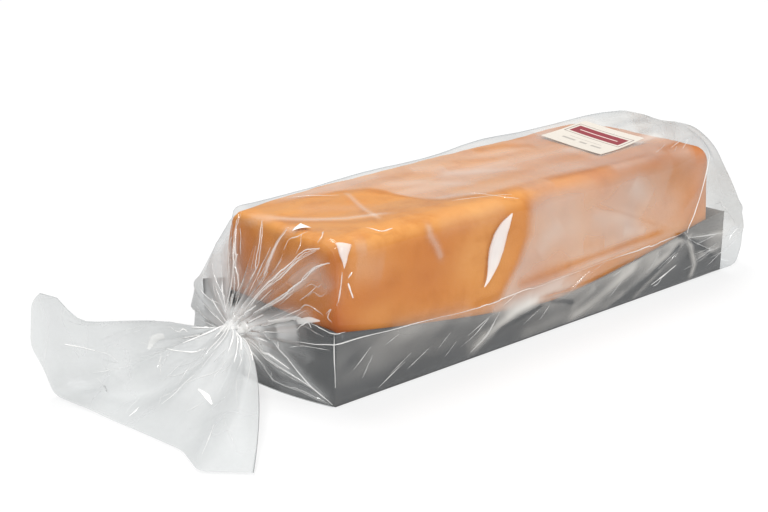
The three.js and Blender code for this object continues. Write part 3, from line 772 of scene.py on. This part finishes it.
def label_material():
    """Cream paper with a plain dark-red band, a thin frame round it and a few plain grey bars."""
    n = Nodes("label_paper")
    source = n.add("TexCoord", {}, "Object")
    moved = n.add("Mapping", {"Vector": source, "Location": (-LABEL_X * MM, -LABEL_Y * MM, 0)})
    turned = n.add("Mapping", {"Vector": moved, "Rotation": (0, 0, -math.radians(LABEL_TURN))})
    u, v = (n.math("DIVIDE", n.add("SeparateXYZ", {0: turned}, axis), MM) for axis in (0, 1))

    def box(u_low, u_high, v_low, v_high, soft=0.15):
        inside = n.ramp(u, u_low - soft, u_low + soft)
        inside = n.times(inside, n.ramp(u, u_high - soft, u_high + soft, 1, 0))
        inside = n.times(inside, n.ramp(v, v_low - soft, v_low + soft))
        return n.times(inside, n.ramp(v, v_high - soft, v_high + soft, 1, 0))

    fibre = n.noise(n.place(), 900, 3, 0.6)
    paper = n.blend(n.ramp(fibre, 0.3, 0.7), (0.62, 0.57, 0.5, 1), (0.67, 0.62, 0.55, 1))
    border = n.math("SUBTRACT", box(-1.9, 14.4, -19.2, 19.4), box(-1.3, 13.8, -18.6, 18.8), True)
    colour = n.blend(n.times(border, 0.8), paper, (0.1, 0.04, 0.04, 1))
    colour = n.blend(box(0.6, 11.8, -17, 17.4), colour, (0.24, 0.018, 0.03, 1))
    colour = n.blend(box(5.6, 6.6, -13, 13.4), colour, (0.75, 0.6, 0.55, 1))
    for v_low, v_high in ((-14, -7), (-4, 1), (4, 13)):
        colour = n.blend(n.times(box(-12.6, -10.4, v_low, v_high), 0.55), colour, (0.2, 0.18, 0.17, 1))
    colour = n.blend(n.times(box(-7.2, -6.4, -11, 11), 0.5), colour, (0.3, 0.26, 0.24, 1))
    return n.finish(n.solid(colour, 0.42, n.bump(fibre, 0.15, 0.0002)))


def floor_material():
    n = Nodes("pale_floor")
    inputs = {"Base Color": (0.25, 0.25, 0.25, 1), "Roughness": 0.9, "Specular IOR Level": 0.1}
    inputs.update({"Emission Color": (1, 1, 1, 1), "Emission Strength": 0.67})
    n.material.cycles.emission_sampling = "NONE"
    return n.finish(n.add("BsdfPrincipled", inputs))


# ---- Camera and studio ----
def studio():
    scene = bpy.context.scene

    def add(name, data, location):
        item = bpy.data.objects.new(name, data)
        item.location = location
        scene.collection.objects.link(item)
        return item

    data = bpy.data.cameras.new("camera")
    data.lens, data.sensor_width = 66.14, 36
    data.clip_start, data.clip_end = 0.01, 50
    scene.camera = add("camera", data, (-0.538, -0.5145, 0.269))
    scene.camera.rotation_euler = (math.radians(90 - 17.9), 0, math.radians(-42.1))
    scene.world = bpy.data.worlds.new("studio")
    scene.world.use_nodes = True
    sky = scene.world.node_tree.nodes["Background"].inputs
    sky[0].default_value, sky[1].default_value = (1, 1, 1, 1), 0.5
    scene.view_settings.view_transform = "Standard"
    scene.view_settings.look = "None"
    lamps = (
        ("key", (-2.3, -1.8, 3.4), 0.9, 94),
        ("side", (1.3, -3.4, 2.3), 0.8, 58),
        ("top", (0.3, 1.6, 3.9), 2.0, 97),
    )
    for name, place, size, power in lamps:
        light = bpy.data.lights.new(name, "AREA")
        light.shape, light.size, light.energy = "DISK", size, power
        aim = Vector((0, 0, 0.04)) - Vector(place)
        add(name, light, place).rotation_euler = aim.to_track_quat("-Z", "Y").to_euler()
    mesh = bpy.data.meshes.new("floor")
    side = 6.0
    mesh.from_pydata([(-side, -side, 0), (side, -side, 0), (side, side, 0), (-side, side, 0)], [], [(0, 1, 2, 3)])
    mesh.materials.append(floor_material())
    floor = add("floor", mesh, (0, 0, -0.0004))


# ---- The loaf ----
def loaf():
    low = np.array((-HALF_LENGTH + BOARD + 0.1, -HALF_WIDTH + 0.4, BOARD + 0.1))
    high = np.array((LOAF_LENGTH - HALF_LENGTH, LOAF_BACK, LOAF_TOP))
    middle, half = (low + high) / 2, (high - low) / 2
    # The outline round the loaf: the middle of each arc, the way out from it and its radius.
    cores = np.array(((1, 1), (-1, 1), (-1, -1), (1, -1))) * (half[1:] - LOAF_RADII[:, None])
    outline = []
    for i in range(4):
        after = (i + 1) % 4
        for turn in np.linspace(0, math.pi / 2, 10) + i * math.pi / 2:
            outline.append((*cores[i], math.cos(turn), math.sin(turn), LOAF_RADII[i]))
        for share in np.linspace(0, 1, SIDE_STEPS)[1:-1]:
            radius = lerp(LOAF_RADII[i], LOAF_RADII[after], share)
            outline.append((*lerp(cores[i], cores[after], share), math.cos(turn), math.sin(turn), radius))
    core_y, core_z, out_y, out_z, radius = np.array(outline).T

    def end(side, roundness):
        """Loops from an end's middle to its edge and round that: their X, size and how far they are drawn in."""
        edge = roundness * radius
        loops = [(side * half[0] + 0 * edge, size, edge) for size in np.linspace(0.03, 0.96, LOAF_END_ROWS)]
        for turn in np.linspace(math.pi / 2, 0, EDGE_STEPS):
            loops.append((side * (half[0] - edge * (1 - math.sin(turn))), 1, edge * (1 - math.cos(turn))))
        return loops

    near, far = end(-1, 0.7), end(1, 1.0)
    shares = np.linspace(0, 1, LOAF_ROWS)[1:-1]
    loops = near + [(lerp(near[-1][0], far[-1][0], share), 1, 0) for share in shares] + far[::-1]
    points = []
    for x, size, inset in loops:
        y = (core_y + (radius - inset) * out_y) * size
        z = (core_z + (radius - inset) * out_z) * size
        points.append(np.stack([x, y, z], -1))
    points = np.array(points)
    x, y, z = axes(points + middle)
    bumps = 0.35 * soft_noise(x, y + 0.7 * z, 60, 21) + 0.16 * soft_noise(x + 0.3 * z, y - z, 18, 22)
    points = points + middle - grid_normals(points) * np.clip(0.35 - bumps, 0, 1.4)[..., None]
    rise = np.maximum(back_rise(x) - 0.3, 0) * ease(140, 96, x) * np.clip((y + 46) / 72, 0, 1) ** 1.1
    dome = LOAF_DOME * bell(x, DOME_PLACE, DOME_LENGTH) * np.clip((y + 46) / 72, 0, 1) ** 2.4
    points[..., 2] += (rise + dome) * ease(30, 75, z)
    # The back bulges a little, and droops at the near end's corner. The foot reaches further at the far end.
    bulge = ease(10, 26, y) * hump(np.clip((z - 4) / 72, 0, 1)) ** 0.7
    points[..., 1] += (2.4 + 5.4 * ease(-110, -149, x)) * bulge
    points[..., 2] -= 0.5 * ease(16, 30, y) * ease(-133, -149, x) * ease(40, 75, z)
    points[..., 0] += (0.8 + 1.6 * ease(60, 25, points[..., 2])) * ease(60, 140, points[..., 0])
    # Browner along the near upright edge, on the near foot, over both ends and in a few broad places.
    x, y, z = axes(points)
    toast = 0.95 * np.exp(-np.hypot(x + 148, y + 50) / 4) + 0.1 * ease(-146.5, -149, x) + 0.2 * ease(105, 140, x)
    toast += 0.8 * np.exp(-(z - 35) / 5) * ease(-118, -150, x) * (z > 34)
    for amount, place, reach, front_only in BROWN_PLACES:
        spot = amount * bell(x, place[0], reach[0]) * bell(z, place[1], reach[1])
        toast += spot * ease(-40, -50, y) if front_only else spot
    # Paler over the top and along the front's upper edge, partly as painted light from above and a painted highlight
    # along that edge, and in a few broad places.
    pale = 0.55 * ease(71, 77, z) * ease(90, -20, x)
    for amount, place, reach in PALE_AND_HIGHLIGHT_PLACES:
        pale += amount * bell(np.linalg.norm((points - place) / reach, axis=-1), 0, 1)
    flat, faces = close_ends(points)
    toast, pale = np.append(toast, (0.4, 0.4)), np.append(pale, (0, 0))
    make("loaf", flat, faces, crust_material(), "bag", "loaf", toast=toast, pale=pale)


# ---- The tray ----
def tray():
    u = np.linspace(-1, 1, TRAY_COLUMNS)

    def shell(inset):
        """Loops of the wall from the rim down and across the floor, for one face of the board."""
        long_x = u * (HALF_LENGTH - inset)
        rim = wall_height(long_x) + 1.3 * bell(long_x, 126, 17)
        wide = HALF_WIDTH - inset
        loops = []
        for level in np.linspace(1, 0, TRAY_LEVELS):
            flare = TRAY_FLARE * level
            front = np.stack([long_x, -wide - flare + 0 * u, lerp(inset, rim, level)], -1)
            bow = END_BOW * (1 - u**2) * (1 - level)
            end_z = lerp(inset, CORNER_HEIGHT, level) + 0 * u
            right = np.stack([HALF_LENGTH - inset + bow, u * (wide + flare), end_z], -1)
            back, left = front[::-1] * (1, -1, 1), right[::-1] * (-1, 1, 1)
            loops.append(np.concatenate([side[:-1] for side in (front, right, back, left)]))
        loops += [loops[-1] * (size, size, 1) for size in (0.92, 0.6, 0.25)]
        return np.array(loops)

    points = np.concatenate([shell(0)[::-1], shell(BOARD)])
    # The far end stands a little further out, more so at its foot.
    x, _, z = axes(points)
    points[..., 0] += (3.2 - 2 * np.minimum(z / CORNER_HEIGHT, 1)) * np.clip(x / HALF_LENGTH, 0, 1.02) ** 8
    make("tray", *close_ends(points), board_material(), "bag", "tray")


# ---- The film ----
def body_film(material):
    s = AROUND[None]
    ends = end_loops(np.sqrt(np.linspace(0.02, 0.98, END_ROWS))[:, None], s)
    body = body_loops(np.linspace(150, -148.5, BODY_ROWS)[:, None], s)
    points = np.concatenate([ends, body, rim_loop(s)[None]])
    x, y, z = axes(points)
    place = np.broadcast_to(s, x.shape)
    # The film's zones: 1 inside each, and 0 away from it.
    on_top = window(place, 19, 24, 39, 42)
    on_front = window(place, 3, 8, 18, 22)
    above_fold = z - np.interp(x, FOLD_X, FOLD_Z)
    low_front = on_front * ease(0.8, -0.8, above_fold - 1.7 * ease(20, 95, x))
    high_front = on_front - low_front
    behind = window(place, 40, 43, 57, 60)
    closed = ease(128, 150, x)
    back_edge = on_top * ease(21, 27, y)
    # How far the film stands off.
    slant, along = 0.6 * x - 0.8 * z, 0.8 * x + 0.6 * z
    folds = crumple(slant, along * 0.22, 13, 39, 5)
    lift = on_top * (0.9 + 0.7 * crumple(x * 0.3, y * 1.2, 30, 31, 5))
    loose = 0.9 + 0.5 * soft_noise(x * 0.6, z, 60, 32)
    lift += high_front * window(x, -24, -14, 100, 125) * loose
    lift += low_front * (0.3 + 0.7 * ease(20, 70, x)) * 0.9 * folds
    lift += behind * crumple(x * 0.6, z + 0.4 * x, 34, 34, 5)
    lift += closed * 0.8 * soft_noise(y, z, 50, 35)
    from_label = np.maximum(np.abs(x - LABEL_X), np.abs(y - LABEL_Y))
    lift = lerp(lift, 0.2, on_top * ease(27, 22, from_label))
    lift *= 1 - 0.95 * ease(-143, -149, x)
    lift += 0.5 * np.maximum(gathers(s), 0) * ease(-132, -148, x) * (z > CORNER_HEIGHT)
    lift *= ease(-0.4, 2.2, z)
    # The top's back part is hazy all along, and its front part past the loaf's first third.
    bands = np.clip(1.5 * crumple(x * 0.16, y, 15, 37, 6), -1, 1)
    past_edge = ease(-3, 5, y - np.interp(x, HAZE_EDGE_X, HAZE_EDGE_Y) + 2.5 * bands)
    haze = on_top * (0.015 + (0.225 + 0.09 * bands) * past_edge) - 0.35 * back_edge
    # The front above the fold is hazy past the loaf's first third, and so is the film round its upper edge.
    cloud = 0.33 - 0.1 * ease(55, 95, x) + 0.04 * soft_noise(x, z, 40, 38)
    haze += high_front * ease(-3, 6, x - np.interp(z, FRONT_EDGE_Z, FRONT_EDGE_X)) * cloud
    haze += 0.13 * window(x, -24, -8, 110, 138) * bell(place, 21.2, 2.2)
    # Below the fold it is doubled, in slanting folds, and clearer over the loaf than over the tray.
    clearer = ease(-2, 2, z - wall_height(x) - 1.5) * ease(5, 34, x)
    doubled = 0.32 * window(x, -50, -10, 96, 112) * (1 - 0.8 * clearer)
    doubled += 0.1 + 0.21 * ease(-60, -100, x) - 0.07 * ease(100, 120, x) + 0.09 * ease(128, 142, x)
    doubled += ease(-50, -80, x) * (0.25 - 0.39 * ease(4, 22, z)) - 0.13 * ease(-125, -143, x)
    contrast = (0.07 + 0.1 * ease(-20, 60, x)) * (1 - 0.7 * clearer)
    haze += low_front * (doubled + contrast * (np.clip(folds, -1, 1) + 0.4))
    # Behind, it is crumpled under the loaf's edge. The closed end is almost clear.
    patches = np.clip(crumple(0.6 * x + z, 0.2 * x, 24, 41, 5), -1, 1)
    haze += behind * (0.04 + ease(70, 58, z) * (0.1 + 0.1 * patches)) + closed * 0.03
    # What shows through is greyer at the closed end, along the back edge and low on the far front.
    grey = 0.3 * closed * (1 - 0.45 * ease(40, 15, z) - 0.5 * ease(62, 74, z))
    grey += 0.16 * back_edge + 0.14 * behind * ease(60, 76, z)
    grey += 0.26 * ease(-24, -40, y) * window(x, 30, 75, 112, 128) * ease(45, 70, z)
    soft_haze, soft_lift = soft_features(points)
    points = points + grid_normals(points) * (lift + soft_lift)[..., None]
    points[..., 2] = np.maximum(points[..., 2], 0.1)
    flat, faces = close_ends(points, (0,))
    haze, grey = np.append(haze + soft_haze, 0.2), np.append(grey, 0.3)
    return make("film_body", flat, faces, material, "bag", "film", haze=haze, grey=grey)


def gathered_film(material):
    s = np.linspace(0, ROUND, GATHER_COLUMNS, endpoint=False)
    t = np.linspace(0, 1, CONE_ROWS)
    pleats = gathers(s)
    neck = neck_points(s, -1.5, NECK_RADIUS, pleats)[None]
    tail = tail_loops(np.linspace(0, 1, TAIL_ROWS)[1:] ** 1.2, s)
    points = np.concatenate([cone_loops(t, s), neck, tail])
    rows, columns = points.shape[:2]
    x, y, _ = axes(points)
    in_tail = (np.arange(rows) > CONE_ROWS)[:, None]
    from_neck = np.linalg.norm(points - NECK_CENTRE, axis=-1)
    haze = np.full((rows, columns), 0.08)
    t = t[:, None]
    haze[:CONE_ROWS] += 0.12 * ease(0.1, 0.7, t) - 0.06 + 0.12 * np.maximum(pleats, 0) * ease(0, 0.4, t)
    cloud = soft_noise(x * 1.3, y, 34, 51) + np.clip(crumple(y, x, 16, 52, 6), -1, 1)
    haze += in_tail * (0.24 + 0.07 * cloud)
    # The ear behind the neck and the neck itself are the whitest, in streaks.
    ear = window(s, 41, 45, 57, 61) * ease(-150, -153.5, x)
    haze += ~in_tail * 0.8 * ear * (0.8 + 0.25 * pleats)
    haze += 0.8 * np.exp(-((from_neck / 15) ** 4)) * (0.85 + 0.15 * pleats) + 0.22 * bell(from_neck, 0, 26)
    haze += in_tail * 0.42 * np.exp(-((from_neck / 46) ** 4)) * (0.9 + 0.3 * pleats)
    # Whiter milk round the neck, most in the cone: whiter gathered film, and painted light that lifts the cone's shaded
    # side.
    whiter_and_painted_light = 0.8 * bell(from_neck, 0, 17) * np.where(in_tail, 0.12, 1)
    soft_haze, soft_lift = soft_features(points)
    points = points + grid_normals(points) * soft_lift[..., None]
    layers = {"haze": haze + soft_haze, "whiter_and_painted_light": whiter_and_painted_light}
    return make("film_gathered", points, grid_faces(rows, columns), material, "bag", "film", **layers)


def crinkles():
    """Short fine creases, sown over the film with a fixed seed, white partly as creased film and partly as painted
    highlight.
    """
    rng = np.random.default_rng(CRINKLE_SEED)
    rows = []

    def run(start, least, most):
        return start + np.linspace(0, rng.uniform(least, most), 4)

    def trace(loops, first, second):
        return [loops(np.array([a]), np.array([b])).ravel() for a, b in zip(first, second)]

    def sow(line, halves, height, whites):
        rows.append(((rng.uniform(*halves), height, rng.uniform(*whites)), line))

    def scatter(count, loops, first, reach, bounds, second, turn, halves, whites):
        for _ in range(count):
            a, b = rng.uniform(*first), rng.uniform(*second)
            a, b = np.clip(run(a, *reach), *bounds), run(b, *turn)
            sow(trace(loops, a, b % ROUND), halves, LOW_CREASE, whites)

    # In the tail, down the cone and out from the neck both ways.
    for _ in range(34):
        t = run(rng.uniform(0.12, 0.75), 0.08, 0.25)
        across = np.clip(run(rng.uniform(0.06, 0.94), -0.12, 0.12), 0.02, 0.98)
        sow(tail_middle(across, np.clip(t, 0, 0.97)) + (0, 0, 2), (0.2, 0.35), LOW_CREASE, (0.25, 0.6))
    scatter(40, cone_loops, (0.05, 0.6), (0.1, 0.35), (0, 1), (0, ROUND), (-1.5, 1.5), (0.2, 0.35), (0.3, 0.65))
    for ray in range(NECK_RAYS):
        s = [(ray + rng.uniform(0.1, 0.9)) * ROUND / NECK_RAYS] * 4
        if ray % 2:
            line = trace(cone_loops, np.linspace(1, rng.uniform(0.5, 0.8), 4), s)
        else:
            line = trace(tail_loops, np.linspace(0, rng.uniform(0.12, 0.3), 4), s)
        sow(line, (0.4, 0.8), 2 * LOW_CREASE, (0.55, 0.95))
    # Along the body: how many, from and to which X, the places round it, and how white. Then over the closed end.
    spans = ((24, -150, 145, (3, 8), 0.5), (20, 90, 148, (20, 34), 0.4), (22, -148, 145, (44, 53), 0.4))
    spans += ((14, -148, 148, (54, 58), 0.4), (16, 60, 150, (4, 8), 0.45))
    for count, start, end, s, white in spans:
        whites = (0.5 * white, 1.2 * white)
        scatter(count, body_loops, (start, end), (6, 16), (-148, 149), s, (0.6, 2.2), (0.2, 0.4), whites)
    scatter(16, end_loops, (0.3, 0.8), (0.1, 0.3), (0, 0.97), (4, 58), (-3, 3), (0.25, 0.4), (0.3, 0.6))
    return rows


def creases(pieces, material):
    """Narrow raised folds and bright facets that follow the film: the folds white partly as creased film and partly as
    painted highlight, the facets painted highlights.
    """
    vertices, polygons = [], []
    for piece in pieces:
        start = len(vertices)
        vertices += [v.co / MM for v in piece.data.vertices]
        polygons += [[start + i for i in p.vertices] for p in piece.data.polygons]
    tree = BVHTree.FromPolygons(vertices, polygons)
    rng = np.random.default_rng(STRIP_SEED)
    points, faces, haze = [], [], []
    # A strip's section: how far across, how high and how white, as shares of the most. The fold is whiter on one side
    # as a painted highlight; the glint section is painted highlight across.
    fold = ((-1, 0, 0.1), (-0.45, 0.7, 0.9), (0, 1, 1), (0.45, 0.5, 0.7), (1, 0, 0.05))
    glint_section = ((-1, 0, 0.3), (-0.8, 0.6, 0.9), (-0.4, 1, 1), (0, 1, 1), (0.4, 1, 1), (0.8, 0.6, 0.9), (1, 0, 0.3))

    def strip(line, width, widest, height, white, profile, kink):
        line = np.asarray(line, float)
        length = distances(line)[-1]
        share = np.linspace(0, 1, max(6, int(length / STRIP_STEP)))
        spots = [tree.find_nearest(Vector(p)) for p in curve(line, share)]
        places, normals = (np.array([spot[i] for spot in spots]) for i in (0, 1))
        sides = unit(np.cross(normals, unit(np.gradient(places, axis=0))))
        knots = np.linspace(0, 1, max(3, int(length / KINK_STEP)))
        wander = np.interp(share, knots, rng.uniform(-kink, kink, len(knots)))
        start = len(points)
        for place, side, half, shift in zip(places, sides, width(share), wander):
            for across, up, tint in profile:
                spot = tree.find_nearest(Vector(place + side * (across * half + shift)))
                points.append(np.array(spot[0]) + np.array(spot[1]) * (STRIP_LIFT + height * up * half / widest))
                haze.append(white * tint)
        faces.extend([start + i for i in face] for face in grid_faces(len(share), len(profile), False))

    def swell(share):
        return hump(np.clip(share, 0.03, 0.97)) ** 0.5

    gathered = split_rows(FAN, 3)
    softer = [((1.2 * half, height, 0.84 * white), line) for (half, height, white), line in gathered]
    for (half, height, white), line in split_rows(CREASES, 3) + softer + crinkles():
        phase, pace = rng.uniform(0, 6), rng.uniform(6, 14)

        def taper(share):
            return half * (0.12 + swell(share) * (0.75 + 0.25 * np.sin(pace * share + phase)))

        strip(line, taper, half, height, white, fold, 0.12)
    for (white,), rows in split_rows(GLINTS, 1, 4):
        halves = rows[:, 3]
        places = np.linspace(0, 1, len(halves))
        strip(rows[:, :3], lambda share: np.interp(share, places, halves), halves.max(), 0.35, white, glint_section, 0.1)
    # Twins that run beside the gathers, white partly as creased film and partly as painted highlight.
    for (_, _, white), line in gathered:
        beside = line + rng.uniform(-1.6, 1.6, 3)
        strip(beside, lambda share: 0.3 * (0.15 + swell(share)), 0.3, 0.3, 0.7 * white, fold, 0.12)
    make("film_creases_and_highlights", points, faces, material, "bag", "film", haze=haze)


# ---- The label ----
def label():
    turn = math.radians(LABEL_TURN)
    side = LABEL_CELLS + 1
    u, v = np.meshgrid(np.linspace(-0.5, 0.5, side), np.linspace(-0.5, 0.5, side))
    u, v = u.ravel() * LABEL_LENGTH, v.ravel() * LABEL_WIDTH
    x = LABEL_X + u * math.cos(turn) - v * math.sin(turn)
    y = LABEL_Y + u * math.sin(turn) + v * math.cos(turn)
    bottom = np.stack([x, y, top_height(x, y) + LABEL_GAP], -1)
    points = np.concatenate([bottom, bottom + (0, 0, PAPER)])
    count = side * side
    faces = [face[::-1] for face in grid_faces(side, side, False)]
    faces += [[count + i for i in face] for face in grid_faces(side, side, False)]
    index = np.arange(count).reshape(side, side)
    ring = np.concatenate([index[0, :-1], index[:-1, -1], index[-1, :0:-1], index[:0:-1, 0]]).tolist()
    faces += [(a, b, count + b, count + a) for a, b in zip(ring, ring[1:] + ring[:1])]
    make("label_paper", points, faces, label_material(), "label", "label", smooth=False)


studio()
loaf()
tray()
films = [
    # The body film's milk is warmer than the gathered film's: painted warm light from the loaf under it.
    body_film(film_material("clear_film", (0.7, 0.675, 0.635))),
    gathered_film(film_material("gathered_film", (0.7, 0.71, 0.71), 0.3, 0.4, 0.008)),
]
creases(films, film_material("creased_film_and_highlights", (0.95, 0.94, 0.92)))
label()
bpy.context.scene.cycles.transparent_max_bounces = 32
